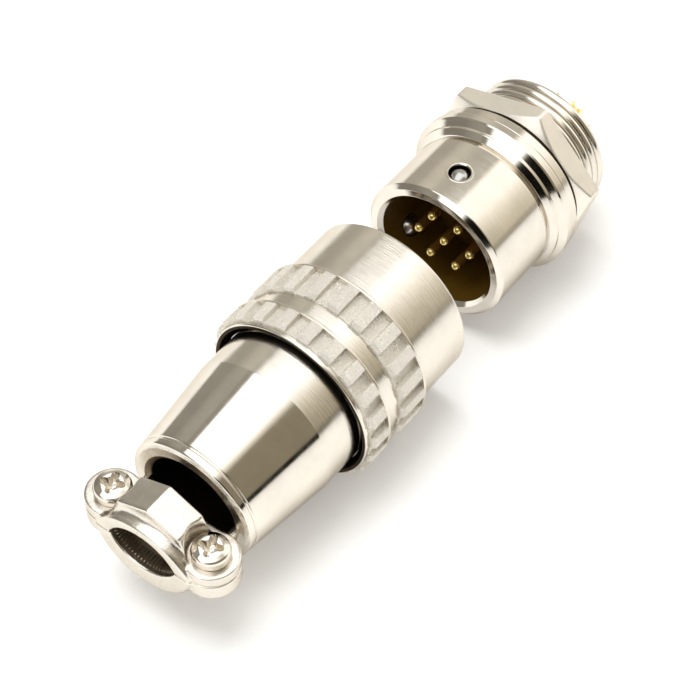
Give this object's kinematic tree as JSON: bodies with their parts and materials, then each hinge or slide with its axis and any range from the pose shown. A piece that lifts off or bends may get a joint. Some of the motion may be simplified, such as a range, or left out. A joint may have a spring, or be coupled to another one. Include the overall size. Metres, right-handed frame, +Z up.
{
  "type": "push-pull connector",
  "caption": "Round push-pull cable plug with notched coupling sleeve and clamp, lying apart from its panel receptacle with lock balls, pins and nut.",
  "frame": {"origin": "middle of the bounding box, on the table under the connector axis", "axes": "+X along the connector axis from the cable clamp to the panel end, +Z up from the table"},
  "size_m": [0.071, 0.0202, 0.02],
  "materials": {
    "nickel": "nickel plated, polished",
    "nickel_grip": "nickel plated, matte in the grip bands",
    "gold": "gold plated",
    "insulator": "dark brown moulding",
    "ball_steel": "polished steel",
    "spring_steel": "drawn wire"
  },
  "bodies": {
    "receptacle": {"receptacle_shell": "nickel", "pin_insert": "insulator", "pin_retainer": "nickel", "contact_pin_1": "gold", "contact_pin_2": "gold", "contact_pin_3": "gold", "contact_pin_4": "gold", "contact_pin_5": "gold", "contact_pin_6": "gold", "contact_pin_7": "gold"},
    "ball_1": {"lock_ball_1": "ball_steel"},
    "ball_2": {"lock_ball_2": "ball_steel"},
    "ball_3": {"lock_ball_3": "ball_steel"},
    "washer": {"panel_washer": "nickel"},
    "nut": {"panel_nut": "nickel"},
    "plug": {"plug_body": "nickel", "socket_insert": "insulator", "socket_retainer": "nickel", "socket_contact_1": "gold", "socket_contact_2": "gold", "socket_contact_3": "gold", "socket_contact_4": "gold", "socket_contact_5": "gold", "socket_contact_6": "gold", "socket_contact_7": "gold", "stop_ring": "spring_steel", "sleeve_spring": "spring_steel", "back_shell": "nickel", "clamp_saddle": "nickel", "clamp_screw_1": "nickel", "clamp_screw_2": "nickel"},
    "sleeve": {"coupling_sleeve": "nickel_grip"}
  },
  "joints": [
    {"name": "plug_mate", "type": "slide", "parent": "receptacle", "child": "plug", "axis": [1, 0, 0], "range_m": [0, 0.0158]},
    {"name": "sleeve_draw", "type": "slide", "parent": "plug", "child": "sleeve", "axis": [1, 0, 0], "range_m": [-0.0025, 0], "stiffness_N_per_m": 1200, "springref_m": 0.0015, "deforming": ["sleeve_spring"]},
    {"name": "washer_travel", "type": "slide", "parent": "receptacle", "child": "washer", "axis": [1, 0, 0], "range_m": [0, 0.00301]},
    {"name": "nut_turn", "type": "hinge", "parent": "washer", "child": "nut", "pos_m": [0.02515, 0, 0.00999], "axis": [1, 0, 0], "range_deg": [0, 1080]},
    {"name": "ball_1_lift", "type": "slide", "parent": "receptacle", "child": "ball_1", "axis": [0, 0, 1], "range_m": [0, 0.0003]},
    {"name": "ball_2_lift", "type": "slide", "parent": "receptacle", "child": "ball_2", "axis": [0, -0.866, -0.5], "range_m": [0, 0.0003]},
    {"name": "ball_3_lift", "type": "slide", "parent": "receptacle", "child": "ball_3", "axis": [0, 0.866, -0.5], "range_m": [0, 0.0003]}
  ],
  "couplings": [
    {"joint": "washer_travel", "follows": "nut_turn", "m_per_rad": 0.00015915},
    {"joint": "ball_1_lift", "follows": "sleeve_draw", "ratio": -0.12},
    {"joint": "ball_2_lift", "follows": "sleeve_draw", "ratio": -0.12},
    {"joint": "ball_3_lift", "follows": "sleeve_draw", "ratio": -0.12}
  ]
}
